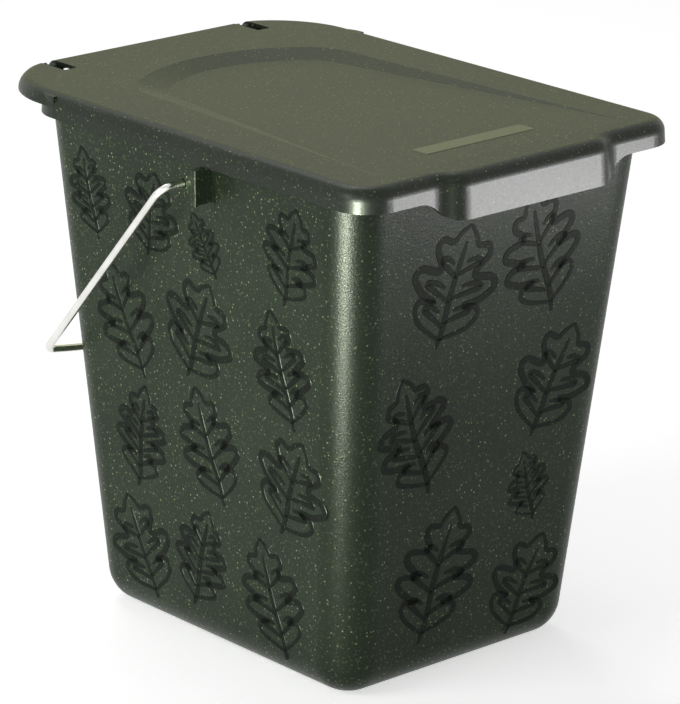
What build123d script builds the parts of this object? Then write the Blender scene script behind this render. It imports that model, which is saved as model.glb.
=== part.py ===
"""Kitchen compost caddy: a tapered moulded bucket, a dished snap-on lid and a wire bail.

Millimetres. The origin is on the floor under the middle of the base, +Z is up, the lid's
grip flap faces -Y and the hinge is at +Y. The lid is shut and the bail hangs at the back.
"""
import os
from math import acos, atan, atan2, cos, degrees, hypot, radians, sin, tan

from build123d import *

os.makedirs("parts", exist_ok=True)

# ---------------------------------------------------------------- driving dimensions
# bucket shell
rim_height = 272.6
base_width = 154.0
base_length = 196.6
side_lean = 21.3            # each side wall leans out this far over the full height
front_lean = 30.7
rear_lean = 14.4
corner_radius = 21.0        # of the four upright corners
base_edge_radius = 19.2     # roll between the walls and the floor
wall = 2.0
floor_top = 5.4
rim_flange = 1.6            # outward bead that stiffens the wall just under the rim
rim_flange_height = 3.0
rim_flange_drop = 4.6

# feet: what is left between two shallow arches
front_arch_half = 43.0
front_arch_rise = 3.0
side_arch_half = 60.0
side_arch_rise = 2.2

# lid
plate = 2.2
skirt_wall = 2.0
lid_seat_gap = 0.2          # lid plate over the rim
lid_side_overhang = 3.9     # past the rim's outer wall, at the lid's top
lid_front_overhang = 12.3
lid_rear_overhang = 40.2
lid_edge_radius = 6.6
lid_flare = 3.4             # degrees, the skirt spreads downwards
skirt_height = 12.0
flap_height = 21.8
flap_bulge = 6.5            # the grip flap stands forward of the skirt
flap_half = 42.0
flap_shoulder = 17.0        # width of each shoulder between skirt and flap
flap_lower_half = 46.0      # the flap's lower edge runs straight this far
flap_end_run = 22.0         # and sweeps up to the skirt's lower edge over this width
lid_front_radius = 18.0
lid_rear_side_radius = 55.0  # the rear corners are two tangent arcs, long along the side
lid_rear_radius = 24.4
lid_rear_corner_turn = 56.8  # degrees that the side arc turns before the rear arc takes over
rear_skirt_gap = 1.8        # rear skirt behind the bucket's rim flange
rear_lip_height = 6.6

# dished panel in the lid
dish_depth = 3.0
dish_slope = 14.0           # width of the sloping border at full depth
dish_rear_inset = 50.0      # from the lid's rear edge to the top of the rear slope
dish_front_inset = 14.0
dish_rear_half = 52.0       # half widths of the dish's floor
dish_front_half = 78.0
dish_arch = 24.0            # the rear edge bows back by this much
dish_corner_radius = 22.0

# hinge
hinge_inset = 38.2          # middle of a hook to the lid's side
hinge_from_rear = 6.5       # hinge axis to the lid's rear edge
hinge_below_top = 3.7
hinge_pin_radius = 2.5
hinge_pin_clearance = 0.08
hook_thickness = 3.2
hook_wall = 2.6
hook_mouth = 130.0          # degrees of the hook that stay open, upwards
slot_side_clearance = 2.6
slot_length = 15.9          # in front of the pin
slot_corner = 1.8
cheek_thickness = 2.0
cheek_reach = 4.0
arm_width = 12.0
arm_thickness = 3.2
arm_rise = 8.5              # the arm climbs this far from the wall to its end
open_angle = 105.0
stop_gap = 0.3

# bail
wire_radius = 2.0
bail_pivot_y = -2.5
bail_pivot_drop = 23.6      # below the rim
bail_hole_clearance = 0.5
bail_standoff = 0.9         # between the wire and the lid's side, where it passes closest
bail_outer_gap = 13.4       # bend of the wire to the side wall
bail_lid_clearance = 1.0    # between the grip bar and the lid's rear edge as it swings past
bail_grip_radius = 320.0    # the grip bar is a long bow
bail_bend_radius = 7.0
bail_tail = 6.0             # wire inside the wall
bail_rest_gap = 0.45

# fins that stop the upright bail from falling forward
fin_thickness = 3.5
fin_ahead = 20.6            # rear face of the fin in front of the bail's pivot
fin_catch = 1.6             # how far the fin's outer edge reaches past the wire's inner side
fin_skirt_gap = 0.6         # below the lid's skirt
fin_height = 18.0
fin_border = 2.0

# ---------------------------------------------------------------- derived sizes
base_half_width = base_width / 2
base_half_length = base_length / 2
rim_half_width = base_half_width + side_lean
rim_front = -base_half_length - front_lean
rim_rear = base_half_length + rear_lean

lid_underside = rim_height + lid_seat_gap
lid_top = lid_underside + plate
skirt_bottom = lid_top - skirt_height
flap_bottom = lid_top - flap_height
lid_half_width = rim_half_width + lid_side_overhang
lid_front = rim_front - lid_front_overhang
lid_rear = rim_rear + lid_rear_overhang
flare = tan(radians(lid_flare))
rear_skirt = rim_rear + rim_flange + rear_skirt_gap + skirt_wall
rear_skirt_radius = corner_radius + lid_side_overhang

# length of a rear corner along the side, and where the straight rear edge starts
arc_centres = lid_rear_side_radius - lid_rear_radius
corner_turn = radians(lid_rear_corner_turn)
lid_rear_corner_length = lid_rear_radius + arc_centres * sin(corner_turn)
lid_rear_straight = lid_half_width - lid_rear_side_radius + arc_centres * cos(corner_turn)

hinge_half_spacing = lid_half_width - hinge_inset
hinge_y = lid_rear - hinge_from_rear
hinge_z = lid_top - hinge_below_top

bail_pivot_z = rim_height - bail_pivot_drop


def lean_at(height, lean):
    """How far a wall has leaned out at a height."""
    return lean * height / rim_height


def wall_ends(height, grow):
    """Half width, front and rear of the bucket's flat walls at a height, grown outwards."""
    half_width = base_half_width + lean_at(height, side_lean) + grow
    front = -base_half_length - lean_at(height, front_lean) - grow
    rear = base_half_length + lean_at(height, rear_lean) + grow
    return half_width, front, rear


def leaning_walls(low, high, grow):
    """Block between the four leaning walls: its front view crossed with its side view."""
    low_half, low_front, low_rear = wall_ends(low, grow)
    high_half, high_front, high_rear = wall_ends(high, grow)
    with BuildPart() as block:
        with BuildSketch(Plane.XZ):
            with BuildLine():
                Polyline((-low_half, low), (low_half, low), (high_half, high), (-high_half, high), close=True)
            make_face()
        extrude(amount=base_length, both=True)
        with BuildSketch(Plane.YZ):
            with BuildLine():
                Polyline((low_front, low), (low_rear, low), (high_rear, high), (high_front, high), close=True)
            make_face()
        extrude(amount=base_width, both=True, mode=Mode.INTERSECT)
    return block.part


# ---------------------------------------------------------------- bucket
with BuildPart() as bucket_cavity:
    add(leaning_walls(floor_top, rim_height + wall, -wall))
    fillet(bucket_cavity.edges().group_by(Axis.Z)[1], corner_radius - wall)
    fillet(bucket_cavity.edges().group_by(Axis.Z)[0], base_edge_radius - wall)

flange_top = rim_height - rim_flange_drop
with BuildPart() as rim_bead:
    with BuildSketch(Plane.XY.offset(flange_top - rim_flange_height)) as bead_outline:
        bead_half, bead_front, bead_rear = wall_ends(flange_top, rim_flange)
        with Locations((0, (bead_front + bead_rear) / 2)):
            Rectangle(2 * bead_half, bead_rear - bead_front)
        fillet(bead_outline.vertices(), corner_radius + rim_flange)
    extrude(amount=rim_flange_height)

arch_radius_front = (front_arch_half**2 + front_arch_rise**2) / (2 * front_arch_rise)
arch_radius_side = (side_arch_half**2 + side_arch_rise**2) / (2 * side_arch_rise)

# hinge arm: its end face is the stop that the lid's rear lip meets when it is open
lip_reach = hinge_from_rear + flare * rear_lip_height
lip_drop = rear_lip_height - hinge_below_top
open_turn = radians(open_angle)
stop_y = hinge_y + lip_reach * cos(open_turn) - lip_drop * sin(open_turn) - stop_gap
stop_z = hinge_z - lip_reach * sin(open_turn) - lip_drop * cos(open_turn)
arm_end_top = stop_z + 1.0
arm_root_y = rim_rear - 4 * wall
arm_root_top = arm_end_top - arm_rise
hook_outer_radius = hinge_pin_radius + hinge_pin_clearance + hook_wall
hook_inner_radius = hinge_pin_radius + hinge_pin_clearance

with BuildPart() as bucket:
    add(leaning_walls(0, rim_height, 0))
    fillet(bucket.edges().group_by(Axis.Z)[1], corner_radius)
    fillet(bucket.edges().group_by(Axis.Z)[0], base_edge_radius)
    chamfer(bucket.edges().group_by(Axis.Z)[-1], wall / 4)
    add(rim_bead.part)

    # arches between the feet, seen from the front and from the side
    with BuildSketch(Plane.XZ):
        with Locations((0, front_arch_rise - arch_radius_front)):
            Circle(arch_radius_front)
    extrude(amount=base_length, both=True, mode=Mode.SUBTRACT)
    with BuildSketch(Plane.YZ):
        with Locations((0, side_arch_rise - arch_radius_side)):
            Circle(arch_radius_side)
    extrude(amount=base_width, both=True, mode=Mode.SUBTRACT)

    # hinge arms and hooks, left and right
    for side in (-1, 1):
        arm_plane = Plane.YZ.offset(side * hinge_half_spacing)
        with BuildSketch(arm_plane):
            with BuildLine():
                Polyline(
                    (arm_root_y, arm_root_top),
                    (stop_y, arm_end_top),
                    (stop_y, arm_end_top - arm_thickness),
                    (arm_root_y, arm_root_top - 2 * arm_thickness),
                    close=True,
                )
            make_face()
        extrude(amount=arm_width / 2, both=True)
        with BuildSketch(arm_plane):
            with BuildLine():
                Polyline(
                    (arm_root_y, arm_root_top),
                    (stop_y, arm_end_top),
                    (hinge_y - hook_outer_radius + hook_wall / 2, hinge_z),
                    (hinge_y, hinge_z - hook_outer_radius + hook_wall / 2),
                    (stop_y, hinge_z - 2 * hook_outer_radius),
                    (arm_root_y, arm_root_top - 5 * arm_thickness),
                    close=True,
                )
            make_face()
            with Locations((hinge_y, hinge_z)):
                Circle(hook_outer_radius)
                Circle(hook_inner_radius, mode=Mode.SUBTRACT)
            with BuildLine():
                mouth_z = 1.2 * hook_outer_radius
                mouth_x = mouth_z * tan(radians(hook_mouth / 2))
                Polyline(
                    (hinge_y, hinge_z),
                    (hinge_y + mouth_x, hinge_z + mouth_z),
                    (hinge_y - mouth_x, hinge_z + mouth_z),
                    close=True,
                )
            make_face(mode=Mode.SUBTRACT)
        extrude(amount=hook_thickness / 2, both=True)

    add(bucket_cavity.part, mode=Mode.SUBTRACT)

    # bail stop fins, cored out at the front
    side_at_pivot = base_half_width + lean_at(bail_pivot_z, side_lean)
    bail_bend_x = side_at_pivot + bail_outer_gap
    bail_splay = atan((bail_bend_x - wire_radius - bail_standoff - lid_half_width - flare * rear_lip_height)
                      / (lid_rear - lid_rear_corner_length - bail_pivot_y))
    wire_inner_at_fin = bail_bend_x - wire_radius - (fin_ahead + fin_thickness) * tan(bail_splay)
    fin_outer = wire_inner_at_fin + fin_catch
    fin_top = skirt_bottom - fin_skirt_gap
    fin_rear = bail_pivot_y - fin_ahead
    for side in (-1, 1):
        fin_root = side_at_pivot - wall - 1
        fin_middle = side * (fin_root + fin_outer) / 2
        with Locations((fin_middle, fin_rear - fin_thickness / 2, fin_top - fin_height / 2)):
            Box(fin_outer - fin_root, fin_thickness, fin_height)
    fins = bucket.edges().filter_by(Axis.Z).filter_by(
        lambda edge: abs(abs(edge.center().X) - fin_outer) < 0.01)
    fillet(fins, 0.8)
    for side in (-1, 1):
        pocket_inner = side_at_pivot + 0.5
        pocket_outer = fin_outer - fin_border
        with Locations((
            side * (pocket_inner + pocket_outer) / 2,
            fin_rear - fin_thickness,
            fin_top - fin_border - fin_height / 2,
        )):
            Box(pocket_outer - pocket_inner, 2 * (fin_thickness - fin_border), fin_height, mode=Mode.SUBTRACT)
    add(bucket_cavity.part, mode=Mode.SUBTRACT)

    # bail holes
    with BuildSketch(Plane.YZ):
        with Locations((bail_pivot_y, bail_pivot_z)):
            Circle(wire_radius + bail_hole_clearance)
    extrude(amount=rim_half_width * 2, both=True, mode=Mode.SUBTRACT)

bucket.part.label = "bucket"
export_step(bucket.part, "parts/bucket.step")


# ---------------------------------------------------------------- lid
def lid_outline(grow):
    """Outline of the lid seen from above, grown outwards: flap, shoulders and long rear corners."""
    half = lid_half_width + grow
    front = lid_front - grow
    rear = lid_rear + grow
    turn = 2 * atan2(flap_bulge, flap_shoulder)
    shoulder = flap_shoulder / (2 * sin(turn))
    side_centre = (lid_half_width - lid_rear_side_radius, lid_rear - lid_rear_corner_length)
    rear_centre = (lid_rear_straight, lid_rear - lid_rear_radius)
    flap_front = front - flap_bulge
    flap_centre_y = lid_front - flap_bulge + shoulder
    valley_centre = (flap_half + flap_shoulder, lid_front - shoulder)
    with BuildLine() as outline:
        Line((0, flap_front), (flap_half, flap_front))
        CenterArc((flap_half, flap_centre_y), shoulder + grow, -90, degrees(turn))
        CenterArc(valley_centre, shoulder - grow, 90 + degrees(turn), -degrees(turn))
        Line((valley_centre[0], front), (lid_half_width - lid_front_radius, front))
        CenterArc((lid_half_width - lid_front_radius, lid_front + lid_front_radius),
                  lid_front_radius + grow, -90, 90)
        Line((half, lid_front + lid_front_radius), (half, side_centre[1]))
        CenterArc(side_centre, lid_rear_side_radius + grow, 0, lid_rear_corner_turn)
        CenterArc(rear_centre, lid_rear_radius + grow, lid_rear_corner_turn, 90 - lid_rear_corner_turn)
        Line((lid_rear_straight, rear), (0, rear))
        mirror(about=Plane.YZ)
    return outline.edges()


def dish_outline(grow):
    """Outline of the dished panel from its front edge: splayed sides and a bowed rear edge."""
    rear = dish_run
    front = 0
    with BuildLine() as outline:
        Line((-dish_front_half - grow, front - grow), (dish_front_half + grow, front - grow))
        right = Line((dish_front_half + grow, front - grow), (dish_rear_half + grow, rear - dish_arch + grow))
        ThreePointArc(right @ 1, (0, rear + grow), (-dish_rear_half - grow, rear - dish_arch + grow))
        Line((-dish_rear_half - grow, rear - dish_arch + grow), (-dish_front_half - grow, front - grow))
    return outline.edges()


# the dish's floor slopes from nothing at the front to its full depth at the rear
dish_run = lid_rear - dish_rear_inset - dish_slope - lid_front - dish_front_inset
dish_tilt = atan(dish_depth / dish_run)
dish_plane = Plane(origin=(0, lid_front + dish_front_inset, lid_top), x_dir=(1, 0, 0),
                   z_dir=(0, sin(dish_tilt), cos(dish_tilt)))

with BuildPart() as dish:
    for rise, grow in ((0, 0), (2 * dish_depth, 2 * dish_slope)):
        with BuildSketch(dish_plane.offset(rise)) as dish_section:
            make_face(dish_outline(grow))
            fillet(dish_section.vertices().group_by(Axis.Y)[1], dish_corner_radius + grow)
    loft(ruled=True)

# the plate keeps its thickness under the dish
with BuildPart() as dish_backing:
    add(dish.part.moved(Location((0, 0, -plate))))
    split(bisect_by=Plane.XY.offset(lid_underside + plate / 2), keep=Keep.BOTTOM)

with BuildPart() as lid_form:
    with BuildSketch(Plane.XY.offset(lid_top)):
        make_face(lid_outline(0))
    extrude(amount=-flap_height, taper=-lid_flare)
    fillet(lid_form.edges().group_by(Axis.Z)[-1], lid_edge_radius)

with BuildPart() as lid_cavity:
    with BuildSketch(Plane.XY.offset(lid_underside)):
        make_face(lid_outline(flare * plate - skirt_wall))
    extrude(amount=-flap_height, taper=-lid_flare)
    # the rim stands just inside this chamfer
    chamfer(lid_cavity.edges().group_by(Axis.Z)[-1], lid_side_overhang - skirt_wall - lid_seat_gap)

skirt_start = rear_skirt - rear_skirt_radius


def rear_skirt_outline(grow, start):
    """Outline of the rear skirt, which turns in behind the bucket's rim: straight sides, round corners."""
    half = lid_half_width + grow
    radius = rear_skirt_radius + grow
    with BuildLine() as outline:
        Polyline((0, start), (half, start), (half, skirt_start))
        CenterArc((lid_half_width - rear_skirt_radius, skirt_start), radius, 0, 90)
        Line((lid_half_width - rear_skirt_radius, skirt_start + radius), (0, skirt_start + radius))
        mirror(about=Plane.YZ)
    return outline.edges()


with BuildPart() as rear_skirt_cavity:
    with BuildSketch(Plane.XY.offset(lid_underside)):
        make_face(rear_skirt_outline(flare * plate - skirt_wall, skirt_start - 2 * skirt_wall))
    extrude(amount=-skirt_height, taper=-lid_flare)

with BuildPart() as rear_skirt_wall:
    with BuildSketch(Plane.XY.offset(lid_top - plate / 2)):
        make_face(rear_skirt_outline(flare * plate / 2, skirt_start - skirt_wall / 2))
    extrude(amount=plate / 2 - skirt_height, taper=-lid_flare)
    add(rear_skirt_cavity.part, mode=Mode.SUBTRACT)

# cheeks stand beside each slot under the plate and stay within the lid's outer form
slot_half = hook_thickness / 2 + slot_side_clearance
with BuildPart() as cheeks:
    for side in (-1, 1):
        for cheek in (-1, 1):
            with Locations((
                side * hinge_half_spacing + cheek * (slot_half + cheek_thickness / 2),
                hinge_y - cheek_reach,
                lid_top - rear_lip_height,
            )):
                Box(cheek_thickness, cheek_reach + hinge_from_rear, rear_lip_height - plate / 2,
                    align=(Align.CENTER, Align.MIN, Align.MIN))
    add(lid_form.part, mode=Mode.INTERSECT)

with BuildPart() as lid:
    add(lid_form.part)
    add(lid_cavity.part, mode=Mode.SUBTRACT)

    # the skirt stops short of the flap's depth everywhere but at the flap
    drop = flap_height - skirt_height
    turn = 2 * atan2(drop, flap_end_run)
    end_radius = flap_end_run / (2 * sin(turn))
    far = 2 * lid_half_width
    with BuildSketch(Plane.XZ):
        with BuildLine():
            Line((flap_lower_half, flap_bottom - 1), (flap_lower_half, flap_bottom))
            CenterArc((flap_lower_half, flap_bottom + end_radius), end_radius, -90, degrees(turn))
            CenterArc((flap_lower_half + flap_end_run, skirt_bottom - end_radius), end_radius,
                      90 + degrees(turn), -degrees(turn))
            Polyline(
                (flap_lower_half + flap_end_run, skirt_bottom),
                (far, skirt_bottom),
                (far, flap_bottom - 1),
                (flap_lower_half, flap_bottom - 1),
            )
        make_face()
        mirror(about=Plane.YZ)
    extrude(amount=-2 * lid_front, mode=Mode.SUBTRACT)
    with Locations((0, lid_rear, skirt_bottom - flap_height)):
        Box(4 * lid_half_width, 2 * (lid_rear - lid_front - lid_front_radius), 2 * flap_height,
            mode=Mode.SUBTRACT)

    # behind the rear skirt only a short lip hangs from the plate
    with Locations((0, skirt_start, 0)):
        Box(4 * lid_half_width, lid_rear, 2 * (lid_top - rear_lip_height),
            align=(Align.CENTER, Align.MIN, Align.CENTER), mode=Mode.SUBTRACT)
    add(rear_skirt_wall.part)

    # dished panel
    add(dish_backing.part)
    add(dish.part, mode=Mode.SUBTRACT)

    # hinge: the cheeks, the slots that run out through the rear lip, and the pin across each
    add(cheeks.part)
    for side in (-1, 1):
        slot_front = hinge_y - hinge_pin_radius - slot_length
        with BuildSketch(Plane.XY.offset(lid_top)) as slot:
            with Locations((side * hinge_half_spacing, slot_front)):
                Rectangle(2 * slot_half, 2 * slot_length + lid_rear - slot_front,
                          align=(Align.CENTER, Align.MIN))
            fillet(slot.vertices().group_by(Axis.Y)[0], slot_corner)
        extrude(amount=-rear_lip_height - 1, mode=Mode.SUBTRACT)
        with BuildSketch(Plane.YZ.offset(side * hinge_half_spacing)):
            with Locations((hinge_y, hinge_z)):
                Circle(hinge_pin_radius)
        extrude(amount=slot_half + cheek_thickness, both=True)

lid.part.label = "lid"
export_step(lid.part, "parts/lid.step")

# ---------------------------------------------------------------- bail
# The bail is drawn in its own plane: x across the bucket, y outwards from the pivot axis.
grip_clear = hypot(lid_rear + flare * rear_lip_height - bail_pivot_y, lid_top - bail_pivot_z)
grip_clear += wire_radius + bail_lid_clearance
grip_centre = grip_clear - (bail_grip_radius**2 - lid_rear_straight**2) ** 0.5
splay = tan(bail_splay)
half_sum = bail_bend_x * splay + grip_centre
reach_square = half_sum**2 - (1 + splay**2) * (bail_bend_x**2 + grip_centre**2 - bail_grip_radius**2)
bail_reach = (half_sum + reach_square**0.5) / (1 + splay**2)
corner = (bail_bend_x - bail_reach * splay, bail_reach)

# it hangs until the grip bar meets the rear wall, just past the end of the wall's flat
rear_slope = rear_lean / rim_height
flat_half = base_half_width + side_lean / 2 - corner_radius
touch_reach = grip_centre + (bail_grip_radius**2 - flat_half**2) ** 0.5
stretch = hypot(1, rear_slope)
wall_distance = base_half_length + rear_slope * bail_pivot_z - bail_pivot_y
wall_distance += (wire_radius + bail_rest_gap) * stretch
bow_slope = flat_half / (touch_reach - grip_centre)
hang = radians(45)
for closer_guess in range(4):
    corner_relief = (bow_slope * cos(hang)) ** 2 * corner_radius / 2
    hang = atan(rear_slope) + acos((wall_distance + corner_relief) / (touch_reach * stretch))
bail_plane = Plane(origin=(0, bail_pivot_y, bail_pivot_z), x_dir=(1, 0, 0), z_dir=(0, sin(hang), cos(hang)))

with BuildPart() as bail:
    with BuildLine(bail_plane) as wire_path:
        wire_end = side_at_pivot - wall - bail_tail
        Polyline((-wire_end, 0), (-bail_bend_x, 0), (-corner[0], corner[1]))
        ThreePointArc((-corner[0], corner[1]), (0, grip_centre + bail_grip_radius), corner)
        Polyline(corner, (bail_bend_x, 0), (wire_end, 0))
        bends = wire_path.vertices().filter_by(
            lambda vertex: abs(abs(vertex.X) - wire_end) > bail_bend_radius)
        fillet(bends, bail_bend_radius)
    with BuildSketch(Plane(origin=wire_path.line @ 0, z_dir=wire_path.line % 0)):
        Circle(wire_radius)
    sweep()
    chamfer(bail.faces().filter_by(GeomType.PLANE).edges(), wire_radius / 3)

bail.part.label = "bail"
export_step(bail.part, "parts/bail.step")

# the upright bail leans forward until its arms meet the fins
fin_reach = hypot(fin_ahead, fin_top - bail_pivot_z)
lean_forward = acos((wire_radius + stop_gap) / fin_reach) - atan2(fin_top - bail_pivot_z, fin_ahead)
print("lid hinge at y", round(hinge_y, 3), "z", round(hinge_z, 3), "opens", open_angle)
print("bail pivot at y", bail_pivot_y, "z", round(bail_pivot_z, 3), "hangs", round(degrees(hang), 2),
      "swings", round(90 + degrees(hang + lean_forward), 2), "reach", round(bail_reach, 2))
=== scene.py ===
"""Kitchen compost caddy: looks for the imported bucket, lid and bail, and the studio round them.

Metres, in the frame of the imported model: +Z up, the grip flap faces -Y, the hinge is at +Y.
"""
import math

import bmesh
import bpy
from mathutils import Matrix, Vector


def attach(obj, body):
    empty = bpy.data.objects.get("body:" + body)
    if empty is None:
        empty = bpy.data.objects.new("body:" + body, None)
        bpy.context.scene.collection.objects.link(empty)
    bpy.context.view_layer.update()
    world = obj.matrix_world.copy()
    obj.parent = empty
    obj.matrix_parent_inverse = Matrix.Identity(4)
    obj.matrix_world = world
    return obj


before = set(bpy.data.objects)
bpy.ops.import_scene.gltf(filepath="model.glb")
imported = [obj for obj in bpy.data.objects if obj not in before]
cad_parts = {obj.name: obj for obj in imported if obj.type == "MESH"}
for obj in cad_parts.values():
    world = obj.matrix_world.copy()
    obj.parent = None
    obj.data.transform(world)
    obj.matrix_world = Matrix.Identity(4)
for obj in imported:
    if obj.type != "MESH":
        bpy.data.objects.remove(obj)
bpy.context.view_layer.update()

MM = 0.001


# ---------------------------------------------------------------- materials
def colour(hex_code):
    """sRGB hex such as '3a4738' as a linear colour with full alpha."""
    channels = [int(hex_code[i:i + 2], 16) / 255 for i in (0, 2, 4)]
    linear = [c / 12.92 if c <= 0.04045 else ((c + 0.055) / 1.055) ** 2.4 for c in channels]
    return (*linear, 1.0)


def add_node(tree, kind, links=None, **settings):
    """Adds a node. Settings are the node's own or its inputs' values; links are input: output socket."""
    node = tree.nodes.new(kind)
    for name, value in settings.items():
        if hasattr(node, name):
            setattr(node, name, value)
        else:
            node.inputs[name.replace("_", " ")].default_value = value
    for name, source in (links or {}).items():
        tree.links.new(source, node.inputs[name])
    return node


def live_output(node, name):
    """The output of that name that the node's present settings switch on."""
    return next(output for output in node.outputs if output.name == name and output.enabled)


def new_material(name):
    """Empty node material; returns it with its tree."""
    material = bpy.data.materials.new(name)
    material.use_nodes = True
    material.node_tree.nodes.clear()
    return material, material.node_tree


def ramp(tree, source, stops):
    """Colour ramp over a value; stops are (position, linear colour)."""
    node = add_node(tree, "ShaderNodeValToRGB", links={"Fac": source})
    elements = node.color_ramp.elements
    while len(elements) < len(stops):
        elements.new(0.5)
    for element, (position, stop_colour) in zip(elements, stops):
        element.position = position
        element.color = stop_colour
    return node.outputs["Color"]


# a colour Mix node has sockets of one name for every type: these are the ones that a colour uses
MIX_FACTOR, MIX_A, MIX_B, MIX_RESULT = 0, 6, 7, 2

# what shows in the plastic, in millimetres: drifts of paler regrind, cells that hold one fleck each, fine dust
CLOUD_MM = 55
FLECK_CELL_MM = 2.8
DUST_MM = 1.3
# a fleck's solid core and the edge where it ends, as shares of its cell; the faintest fleck's strength
FLECK_CORE, FLECK_EDGE = 0.10, 0.19
FAINTEST_FLECK = 0.25
# the noise values between which dust shows, and its greatest strength
DUST_FROM, DUST_TO, DUST_STRENGTH = 0.58, 0.85, 0.36
POLYPROPYLENE_IOR = 1.49


def speckled_plastic(name, base, cloud, fleck, grain_mm, grain_height, rough, spread, shine, fleck_share):
    """Recycled polypropylene, injection moulded: a dyed base, a slight cloud of mixed regrind, and pale
    flecks of other plastics. The tool's eroded texture shows as grain and softens every reflection."""
    material, tree = new_material(name)
    place = add_node(tree, "ShaderNodeTexCoord").outputs["Object"]
    clouds = add_node(tree, "ShaderNodeTexNoise", links={"Vector": place},
                      Scale=1 / (CLOUD_MM * MM), Detail=4.0, Roughness=0.55)
    body = ramp(tree, clouds.outputs["Fac"], [(0.35, colour(base)), (0.68, colour(cloud))])

    # flecks up to about 0.8 mm across; fleck_share of the cells have one, each of its own strength
    cells = add_node(tree, "ShaderNodeTexVoronoi", links={"Vector": place},
                     Scale=1 / (FLECK_CELL_MM * MM), Randomness=1.0)
    dot = add_node(tree, "ShaderNodeMapRange", links={"Value": cells.outputs["Distance"]},
                   interpolation_type="SMOOTHSTEP", From_Min=FLECK_EDGE, From_Max=FLECK_CORE)
    cell_split = add_node(tree, "ShaderNodeSeparateColor", links={"Color": cells.outputs["Color"]})
    chosen = add_node(tree, "ShaderNodeMath", links={0: cell_split.outputs["Red"]}, operation="LESS_THAN")
    chosen.inputs[1].default_value = fleck_share
    strength = add_node(tree, "ShaderNodeMapRange", links={"Value": cell_split.outputs["Green"]},
                        To_Min=FAINTEST_FLECK)
    fleck_mask = dot.outputs["Result"]
    for factor in (chosen.outputs["Value"], strength.outputs["Result"]):
        fleck_mask = add_node(tree, "ShaderNodeMath", links={0: fleck_mask, 1: factor},
                              operation="MULTIPLY").outputs["Value"]

    # finer dust of the same regrind lies under the flecks
    dust = add_node(tree, "ShaderNodeTexNoise", links={"Vector": place}, Scale=1 / (DUST_MM * MM), Detail=2.0)
    dust_mask = add_node(tree, "ShaderNodeMapRange", links={"Value": dust.outputs["Fac"]},
                         From_Min=DUST_FROM, From_Max=DUST_TO, To_Max=DUST_STRENGTH)
    surface = body
    for mask in (dust_mask.outputs["Result"], fleck_mask):
        mixed = add_node(tree, "ShaderNodeMix", links={MIX_FACTOR: mask}, data_type="RGBA")
        tree.links.new(surface, mixed.inputs[MIX_A])
        mixed.inputs[MIX_B].default_value = colour(fleck)
        surface = mixed.outputs[MIX_RESULT]

    grain = add_node(tree, "ShaderNodeTexNoise", links={"Vector": place},
                     Scale=1 / (grain_mm * MM), Detail=3.0, Roughness=0.6)
    grain_bump = add_node(tree, "ShaderNodeBump", links={"Height": grain.outputs["Fac"]},
                          Strength=1.0, Distance=grain_height * MM)
    gloss = add_node(tree, "ShaderNodeMapRange", links={"Value": grain.outputs["Fac"]},
                     To_Min=rough - spread, To_Max=rough + spread)
    shader = add_node(tree, "ShaderNodeBsdfPrincipled",
                      links={"Base Color": surface, "Roughness": gloss.outputs["Result"],
                             "Normal": grain_bump.outputs["Normal"]},
                      IOR=POLYPROPYLENE_IOR, Specular_IOR_Level=shine)
    add_node(tree, "ShaderNodeOutputMaterial", links={"Surface": shader.outputs["BSDF"]})
    return material


def drawn_steel(name):
    """Stainless wire, drawn and polished: bright, with faint die lines and the odd dull patch."""
    patch_mm, line_mm, line_height = 14, 0.8, 0.02
    material, tree = new_material(name)
    place = add_node(tree, "ShaderNodeTexCoord").outputs["Object"]
    patches = add_node(tree, "ShaderNodeTexNoise", links={"Vector": place},
                       Scale=1 / (patch_mm * MM), Detail=3.0)
    tint = ramp(tree, patches.outputs["Fac"], [(0.3, colour("e9e9e6")), (0.75, colour("d6d5cf"))])
    lines = add_node(tree, "ShaderNodeTexNoise", links={"Vector": place},
                     Scale=1 / (line_mm * MM), Detail=2.0)
    gloss = add_node(tree, "ShaderNodeMapRange", links={"Value": lines.outputs["Fac"]},
                     To_Min=0.14, To_Max=0.28)
    bump = add_node(tree, "ShaderNodeBump", links={"Height": lines.outputs["Fac"]},
                    Strength=0.4, Distance=line_height * MM)
    shader = add_node(tree, "ShaderNodeBsdfPrincipled",
                      links={"Base Color": tint, "Roughness": gloss.outputs["Result"],
                             "Normal": bump.outputs["Normal"]},
                      Metallic=1.0)
    add_node(tree, "ShaderNodeOutputMaterial", links={"Surface": shader.outputs["BSDF"]})
    return material


# the bucket's eroded mould texture scatters light; the lid's finer one leaves a satin sheen
bucket_plastic = speckled_plastic(
    "speckled_polypropylene_textured", base="273524", cloud="33412f", fleck="bcc890",
    grain_mm=0.9, grain_height=0.15, rough=0.34, spread=0.10, shine=0.12, fleck_share=1.0)
lid_plastic = speckled_plastic(
    "speckled_polypropylene_satin", base="182216", cloud="1e281a", fleck="98a26e",
    grain_mm=1.1, grain_height=0.04, rough=0.36, spread=0.05, shine=0.24, fleck_share=0.55)
# the leaves are smooth in the mould; their darker base colour is painted shade, for the wall's scattered sheen
# they lack
leaf_plastic_painted_shade = speckled_plastic(
    "smooth_leaf_relief_painted_shade", base="131c13", cloud="1b261a", fleck="7f8a60",
    grain_mm=1.2, grain_height=0.03, rough=0.36, spread=0.05, shine=0.07, fleck_share=0.3)
# the bare plate is matt, and a shade paler than the lid
plate_plastic = speckled_plastic(
    "bare_plate_polypropylene", base="6a7052", cloud="72775c", fleck="9a9f80",
    grain_mm=1.0, grain_height=0.03, rough=0.45, spread=0.05, shine=0.24, fleck_share=0.15)
wire_steel = drawn_steel("drawn_polished_steel")


def paint(obj, material):
    """Puts one material in every slot of an object."""
    if not obj.material_slots:
        obj.data.materials.append(material)
    for slot in obj.material_slots:
        slot.material = material


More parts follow.
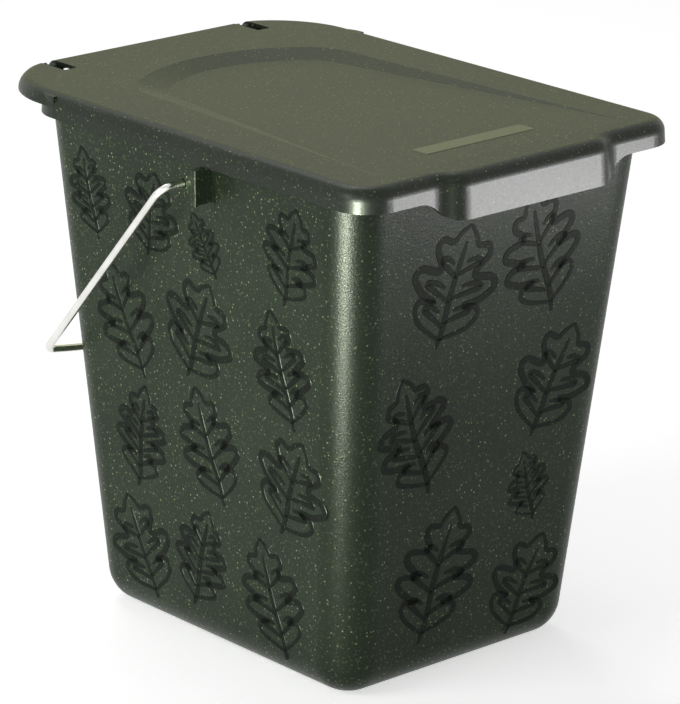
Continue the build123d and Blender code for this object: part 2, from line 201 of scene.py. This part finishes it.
paint(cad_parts["bucket"], bucket_plastic)
paint(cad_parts["lid"], lid_plastic)
paint(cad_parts["bail"], wire_steel)

# ---------------------------------------------------------------- pieces made here
# the bucket's four flat walls in mm: half size at the floor, and how far each leans out over the rim's height
RIM_HEIGHT = 272.6
HALF_WIDTH, SIDE_LEAN = 77.0, 21.3
HALF_LENGTH, FRONT_LEAN, REAR_LEAN = 98.3, 30.7, 14.4

LEAF_RELIEF = 0.22 * MM
BAND_WIDTH = 4.9 * MM
# a band's section: half widths across, relief heights up; its two feet are sunk in the wall
BAND_SECTION = ((-1.0, -0.25), (-0.82, 1.0), (0.82, 1.0), (1.0, -0.25))
OUTLINE_WEIGHT, MIDRIB_WEIGHT, VEIN_WEIGHT = 0.9, 0.85, 0.72


def mesh_object(name, vertices, faces):
    """New object from plain vertices and faces, linked to the scene."""
    mesh = bpy.data.meshes.new(name)
    mesh.from_pydata(vertices, [], faces)
    mesh.update()
    obj = bpy.data.objects.new(name, mesh)
    bpy.context.collection.objects.link(obj)
    return obj


def smooth_line(points, steps=6):
    """Catmull-Rom curve through 2D points."""
    padded = [points[0], *points, points[-1]]
    line = []
    for before, start, end, after in zip(padded, padded[1:], padded[2:], padded[3:]):
        for step in range(steps):
            t = step / steps
            line.append(tuple(
                0.5 * (2 * s + (e - b) * t + (2 * b - 5 * s + 4 * e - a) * t * t
                       + (3 * s - b - 3 * e + a) * t**3)
                for b, s, e, a in zip(before, start, end, after)))
    line.append(tuple(points[-1]))
    return line


def leaf_strokes(lobes, width, slant, veins):
    """Brush strokes of one generic lobed leaf, 1 unit tall: two outline halves, a midrib and side veins."""
    foot, span = 0.10, 0.78
    step = span / lobes
    strokes = []
    for side in (-1, 1):
        outline = [(0, 0.02)]
        for lobe in range(lobes):
            low = foot + span * lobe / lobes
            swell = width * math.sin(math.pi * (0.16 + 0.74 * (lobe + 0.5) / lobes))
            # out from the notch below, round the lobe's tip, and in to the notch above
            for reach, rise in ((0.74, 0.10), (1.04, 0.42 + slant), (0.92, 0.74 + slant), (0.50, 0.86)):
                outline.append((side * swell * reach, low + rise * step))
        outline.append((side * width * 0.20, 0.92))
        outline.append((0, 1.0))
        strokes.append((smooth_line(outline), OUTLINE_WEIGHT))
    midrib = smooth_line([(0, -0.06), (0.015, 0.12), (-0.01, 0.45), (0, 0.86)])
    strokes.append((midrib, MIDRIB_WEIGHT))
    # side veins run out and fold back towards the midrib, the right ones a little higher
    for vein in range(veins):
        low = 0.13 + 0.62 * vein / veins
        length = width * 0.70 * math.sin(math.pi * (0.2 + 0.65 * (vein + 0.5) / veins))
        for side in (-1, 1):
            start = low + (0.03 if side > 0 else 0.0)
            fold = [(side * length * reach, start + rise)
                    for reach, rise in ((0, 0), (0.55, 0.07), (1, 0.13), (0.72, 0.155), (0.30, 0.12))]
            strokes.append((smooth_line(fold), VEIN_WEIGHT))
    return strokes


def leaf_motif(name, strokes, height):
    """Flat leaf of raised bands in its own XY plane: each band swells and tapers like a brush stroke."""
    corners = len(BAND_SECTION)
    vertices, faces = [], []
    for line, weight in strokes:
        points = [Vector((x * height, y * height, 0)) for x, y in line]
        count = len(points)
        first = len(vertices)
        for index, point in enumerate(points):
            ahead = points[min(index + 1, count - 1)] - points[max(index - 1, 0)]
            across = Vector((-ahead.y, ahead.x, 0)).normalized()
            along = index / (count - 1)
            swell = 0.35 + 0.65 * math.sin(math.pi * along) ** 0.5
            half = BAND_WIDTH / 2 * weight * swell
            for offset, rise in BAND_SECTION:
                vertices.append(point + across * half * offset + Vector((0, 0, LEAF_RELIEF * rise)))
        for index in range(count - 1):
            near = first + corners * index
            far = near + corners
            for edge in range(corners):
                after = (edge + 1) % corners
                faces.append((near + edge, near + after, far + after, far + edge))
        last = first + corners * (count - 1)
        faces.append((first, *range(first + corners - 1, first, -1)))
        faces.append(tuple(last + corner for corner in range(corners)))
    motif = mesh_object(name, vertices, faces)
    shell = bmesh.new()
    shell.from_mesh(motif.data)
    bmesh.ops.recalc_face_normals(shell, faces=shell.faces)
    shell.to_mesh(motif.data)
    shell.free()
    return motif


def wall_matrix(wall, across, height, turn):
    """Place on a wall: across it in mm from its middle, height in mm above the floor, turn in degrees."""
    if wall in ("left", "right"):
        side = -1 if wall == "left" else 1
        x = side * (HALF_WIDTH + SIDE_LEAN * height / RIM_HEIGHT)
        point = Vector((x, across, height))
        out = Vector((side, 0, -SIDE_LEAN / RIM_HEIGHT)).normalized()
    else:
        side, lean = (-1, FRONT_LEAN) if wall == "front" else (1, REAR_LEAN)
        y = side * (HALF_LENGTH + lean * height / RIM_HEIGHT)
        point = Vector((across, y, height))
        out = Vector((0, side, -lean / RIM_HEIGHT)).normalized()
    upward = (Vector((0, 0, 1)) - out * out.z).normalized()
    sideways = upward.cross(out)
    flat = Matrix((sideways, upward, out)).transposed().to_4x4()
    return Matrix.Translation(point * MM) @ flat @ Matrix.Rotation(math.radians(turn), 4, "Z")


# leaves on each wall: (motif, across, height, turn, size), clear of each other and of the corners,
# the fins and the holes
SIDE_LEAVES = (
    (0, -56, 16, 14, 0.86), (2, 14, 24, -18, 0.84), (1, 46, 18, 20, 0.90),
    (1, -60, 84, -22, 0.92), (0, -15, 86, 16, 0.84), (2, 53, 78, -12, 0.86),
    (2, -74, 142, 12, 0.88), (1, 5, 150, -24, 0.90), (0, 42, 140, 22, 0.88),
    (0, -74, 206, -16, 0.72), (2, -22, 206, 26, 0.50), (1, 30, 207, -14, 0.72), (2, 70, 206, 10, 0.68),
)
FRONT_LEAVES = (
    (1, -36, 184, -16, 1.00), (0, 38, 188, 18, 0.92), (2, -34, 108, 20, 0.98), (1, 34, 122, -24, 0.92),
    (0, -30, 26, -14, 1.00), (2, 40, 74, 16, 0.60), (1, 30, 14, -22, 0.86),
)
REAR_LEAVES = (
    (2, 41, 170, -14, 0.86), (1, -42, 176, 14, 0.80), (0, 26, 94, 18, 0.92), (2, -30, 104, -16, 0.90),
    (1, 34, 22, -12, 0.92), (0, -36, 18, 14, 0.90), (2, -3, 80, 8, 0.50),
)
LEAF_SEED = 7
# every leaf differs by a few hundredths in size
SMALLEST_LEAF, LARGEST_LEAF = 0.97, 1.03


def leaf_field_tree(motifs, material):
    """Geometry nodes: puts a leaf motif on every point, turned and sized by the point's attributes."""
    tree = bpy.data.node_groups.new("leaf_field", "GeometryNodeTree")
    for name, kind, direction in (("Geometry", "NodeSocketGeometry", "INPUT"),
                                  ("Leaf size", "NodeSocketFloat", "INPUT"),
                                  ("Seed", "NodeSocketInt", "INPUT"),
                                  ("Geometry", "NodeSocketGeometry", "OUTPUT")):
        tree.interface.new_socket(name, in_out=direction, socket_type=kind)
    given = add_node(tree, "NodeGroupInput")
    bundle = add_node(tree, "GeometryNodeJoinGeometry")
    # joined geometry lists the link made last first
    for motif in reversed(motifs):
        info = add_node(tree, "GeometryNodeObjectInfo", Object=motif, As_Instance=True)
        tree.links.new(info.outputs["Geometry"], bundle.inputs["Geometry"])
    angles = add_node(tree, "GeometryNodeInputNamedAttribute", data_type="FLOAT_VECTOR", Name="leaf_turn")
    size = add_node(tree, "GeometryNodeInputNamedAttribute", data_type="FLOAT", Name="leaf_size")
    kind = add_node(tree, "GeometryNodeInputNamedAttribute", data_type="INT", Name="leaf_kind")
    turn = add_node(tree, "FunctionNodeEulerToRotation", links={"Euler": live_output(angles, "Attribute")})
    jitter = add_node(tree, "FunctionNodeRandomValue", links={"Seed": given.outputs["Seed"]}, data_type="FLOAT")
    # inputs 2 and 3 are the range of a plain number
    jitter.inputs[2].default_value = SMALLEST_LEAF
    jitter.inputs[3].default_value = LARGEST_LEAF
    grown = live_output(size, "Attribute")
    for factor in (live_output(jitter, "Value"), given.outputs["Leaf size"]):
        grown = add_node(tree, "ShaderNodeMath", links={0: grown, 1: factor},
                         operation="MULTIPLY").outputs["Value"]
    # sizes change a leaf across the wall, and leave the height of its relief
    scale = add_node(tree, "ShaderNodeCombineXYZ", links={"X": grown, "Y": grown}, Z=1.0)
    place = add_node(tree, "GeometryNodeInstanceOnPoints",
                     links={"Points": given.outputs["Geometry"], "Instance": bundle.outputs["Geometry"],
                            "Instance Index": live_output(kind, "Attribute"),
                            "Rotation": turn.outputs["Rotation"], "Scale": scale.outputs["Vector"]},
                     Pick_Instance=True)
    real = add_node(tree, "GeometryNodeRealizeInstances", links={"Geometry": place.outputs["Instances"]})
    finish = add_node(tree, "GeometryNodeSetMaterial", links={"Geometry": real.outputs["Geometry"]},
                      Material=material)
    add_node(tree, "NodeGroupOutput", links={"Geometry": finish.outputs["Geometry"]})
    return tree


def plain_copy(name, obj):
    """Evaluated mesh of an object as a new plain object; the old one is removed."""
    graph = bpy.context.evaluated_depsgraph_get()
    mesh = bpy.data.meshes.new_from_object(obj.evaluated_get(graph))
    plain = bpy.data.objects.new(name, mesh)
    bpy.context.collection.objects.link(plain)
    bpy.data.objects.remove(obj)
    return plain


def leaf_relief():
    """All leaves of the bucket as one mesh of smooth raised bands."""
    motifs = [leaf_motif("leaf_long", leaf_strokes(4, 0.36, 0.10, 3), 68 * MM),
              leaf_motif("leaf_round", leaf_strokes(3, 0.44, 0.14, 3), 60 * MM),
              leaf_motif("leaf_slim", leaf_strokes(4, 0.33, 0.02, 4), 66 * MM)]
    spots = []
    for wall, leaves in (("left", SIDE_LEAVES), ("right", SIDE_LEAVES),
                         ("front", FRONT_LEAVES), ("rear", REAR_LEAVES)):
        # the right wall is the left one's mirror image
        lean = -1 if wall == "right" else 1
        for kind, across, height, turn, size in leaves:
            spots.append((kind, wall_matrix(wall, across, height, lean * turn), size))
    points = mesh_object("leaf_points", [place.translation for _, place, _ in spots], [])
    # each attribute is filled as soon as it is made, because the next one moves it in memory
    turns = [angle for _, place, _ in spots for angle in place.to_euler()]
    for name, kind, field, values in (("leaf_turn", "FLOAT_VECTOR", "vector", turns),
                                      ("leaf_size", "FLOAT", "value", [size for _, _, size in spots]),
                                      ("leaf_kind", "INT", "value", [kind for kind, _, _ in spots])):
        points.data.attributes.new(name, kind, "POINT").data.foreach_set(field, values)
    modifier = points.modifiers.new("leaf_field", "NODES")
    modifier.node_group = leaf_field_tree(motifs, leaf_plastic_painted_shade)
    inputs = {"Leaf size": 1.0, "Seed": LEAF_SEED}
    for item in modifier.node_group.interface.items_tree:
        if item.in_out == "INPUT" and item.name in inputs:
            modifier[item.identifier] = inputs[item.name]
    relief = plain_copy("leaf_relief", points)
    for motif in motifs:
        bpy.data.objects.remove(motif)
    return relief


leaves = leaf_relief()
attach(leaves, "bucket")


def bare_plate():
    """Small raised plate near the lid's front edge, left bare: a rounded oblong on the dish's slope."""
    half_width, half_depth, corner = 35.0, 5.6, 1.2
    middle_y = -104.3
    # the dish's floor: its height at its front edge, and its fall towards the rear
    edge_y, edge_z, slope = -127.3, 275.0, 0.013876
    # the plate's rings from its sunk foot to its top: how far each is drawn in, and its height
    rings = ((0.0, -0.3), (0.0, 0.12), (0.35, 0.2))
    corner_steps = 6
    outline = []
    for quarter in range(4):
        across = half_width - corner if quarter in (0, 3) else corner - half_width
        along = half_depth - corner if quarter in (0, 1) else corner - half_depth
        for step in range(corner_steps):
            angle = math.radians(90 * quarter + 90 / (corner_steps - 1) * step)
            outline.append((across + corner * math.cos(angle), along + corner * math.sin(angle)))
    vertices, faces = [], []
    for inset, height in rings:
        for x, y in outline:
            x -= math.copysign(inset, x)
            y -= math.copysign(inset, y)
            floor_z = edge_z - slope * (y + middle_y - edge_y)
            vertices.append((x * MM, (y + middle_y) * MM, (floor_z + height) * MM))
    count = len(outline)
    for level in range(len(rings) - 1):
        low, high = level * count, (level + 1) * count
        for index in range(count):
            after = (index + 1) % count
            faces.append((low + index, low + after, high + after, high + index))
    faces.append(tuple(range(high, high + count)))
    faces.append(tuple(reversed(range(count))))
    return mesh_object("bare_plate", vertices, faces)


plate = bare_plate()
paint(plate, plate_plastic)
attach(plate, "lid")

# ---------------------------------------------------------------- studio
FLOOR_HALF = 6
FLOOR_LIFT = 0.62


def seen_directly(tree):
    """1 on rays that show the background itself: the camera's, and those that gloss or glass sends on."""
    ray = add_node(tree, "ShaderNodeLightPath")
    seen = ray.outputs["Is Camera Ray"]
    for kind in ("Is Glossy Ray", "Is Transmission Ray"):
        seen = add_node(tree, "ShaderNodeMath", links={0: seen, 1: ray.outputs[kind]},
                        operation="MAXIMUM").outputs["Value"]
    return seen


def studio_air():
    """World: soft white light, and plain white where it is seen."""
    world = bpy.data.worlds.new("studio_air")
    world.use_nodes = True
    tree = world.node_tree
    tree.nodes.clear()
    soft = add_node(tree, "ShaderNodeBackground", Strength=0.25, Color=colour("ffffff"))
    white = add_node(tree, "ShaderNodeBackground", Strength=1.0, Color=colour("ffffff"))
    both = add_node(tree, "ShaderNodeMixShader", links={0: seen_directly(tree), 1: soft.outputs["Background"],
                                                       2: white.outputs["Background"]})
    add_node(tree, "ShaderNodeOutputWorld", links={"Surface": both.outputs["Shader"]})
    return world


def floor_material():
    """White studio floor, matt: it keeps the object's shadow and otherwise reads as plain white."""
    material, tree = new_material("white_studio_floor")
    grey = add_node(tree, "ShaderNodeBsdfDiffuse", Color=colour("e6e6e6"))
    amount = add_node(tree, "ShaderNodeMath", links={0: seen_directly(tree)}, operation="MULTIPLY")
    amount.inputs[1].default_value = FLOOR_LIFT
    lift = add_node(tree, "ShaderNodeEmission", links={"Strength": amount.outputs["Value"]})
    both = add_node(tree, "ShaderNodeAddShader", links={0: grey.outputs["BSDF"], 1: lift.outputs["Emission"]})
    add_node(tree, "ShaderNodeOutputMaterial", links={"Surface": both.outputs["Shader"]})
    return material


bpy.context.scene.world = studio_air()
floor = mesh_object("studio_floor", [(x * FLOOR_HALF, y * FLOOR_HALF, 0) for x, y in
                                     ((-1, -1), (1, -1), (1, 1), (-1, 1))], [(0, 1, 2, 3)])
paint(floor, floor_material())


def softbox(name, place, target, size, watts, sheen_only=False, tint="ffffff"):
    """Rectangular area light at a place, facing a target. A sheen-only one is seen in reflections alone."""
    lamp = bpy.data.lights.new(name, "AREA")
    lamp.shape = "RECTANGLE"
    lamp.size, lamp.size_y = size
    lamp.energy = watts
    lamp.color = colour(tint)[:3]
    obj = bpy.data.objects.new(name, lamp)
    bpy.context.collection.objects.link(obj)
    obj.location = place
    obj.rotation_euler = (Vector(target) - Vector(place)).to_track_quat("-Z", "Y").to_euler()
    obj.visible_camera = False
    obj.visible_diffuse = not sheen_only


# two small low panels stand close by: their reflections draw the upright corner and the grip flap
softbox("left_strip", (-0.40, -0.245, 0.12), (-0.085, -0.12, 0.13), (0.036, 0.24), 13.0,
        sheen_only=True, tint="f4ffe6")
softbox("front_right_panel", (0.29, -0.50, 0.155), (0.01, -0.149, 0.262), (0.30, 0.10), 3.8, sheen_only=True)
softbox("left_softbox", (-1.5, 0.25, 0.9), (0, 0, 0.15), (0.8, 0.8), 10)
softbox("top_rear_softbox", (0.3, 1.0, 2.0), (0, 0, 0.25), (1.2, 0.9), 11)


def reflector_card():
    """Warm grey card behind the object on the right: only the sheen of the lid and the wire show it."""
    half_width, half_height = 0.75, 0.5
    facing = Vector((0, 0, 0.27))
    card = mesh_object("reflector_card", [(x * half_width, y * half_height, 0) for x, y in
                                          ((-1, -1), (1, -1), (1, 1), (-1, 1))], [(0, 1, 2, 3)])
    card.location = (0.86, 1.0, 0.62)
    card.rotation_euler = (facing - card.location).to_track_quat("Z", "Y").to_euler()
    material, tree = new_material("warm_grey_card")
    glow = add_node(tree, "ShaderNodeEmission", Strength=1.0, Color=colour("dadcb9"))
    add_node(tree, "ShaderNodeOutputMaterial", links={"Surface": glow.outputs["Emission"]})
    paint(card, material)
    card.visible_camera = False
    card.visible_diffuse = False
    card.visible_shadow = False
    card.visible_transmission = False


reflector_card()

# ---------------------------------------------------------------- camera
AZIMUTH = math.radians(-40.88)
ELEVATION = math.radians(18.36)
DISTANCE = 2.08795
AIM = Vector((0, 0, 0.140))
# how far the camera stands beside and above the line through that point
ASIDE = 0.00449
ABOVE = 0.00147
LENS_MM, SENSOR_MM = 211.1, 36

back = Vector((math.sin(AZIMUTH) * math.cos(ELEVATION), -math.cos(AZIMUTH) * math.cos(ELEVATION),
               math.sin(ELEVATION)))
right = Vector((math.cos(AZIMUTH), math.sin(AZIMUTH), 0))
up = back.cross(right)
camera_data = bpy.data.cameras.new("camera")
camera_data.lens = LENS_MM
camera_data.sensor_width = SENSOR_MM
camera_data.clip_start = 0.05
camera_data.clip_end = 50
camera = bpy.data.objects.new("camera", camera_data)
bpy.context.collection.objects.link(camera)
facing = Matrix((right, up, back)).transposed().to_4x4()
camera.matrix_world = Matrix.Translation(AIM + back * DISTANCE + right * ASIDE + up * ABOVE) @ facing
bpy.context.scene.camera = camera

bpy.context.scene.view_settings.view_transform = "Standard"
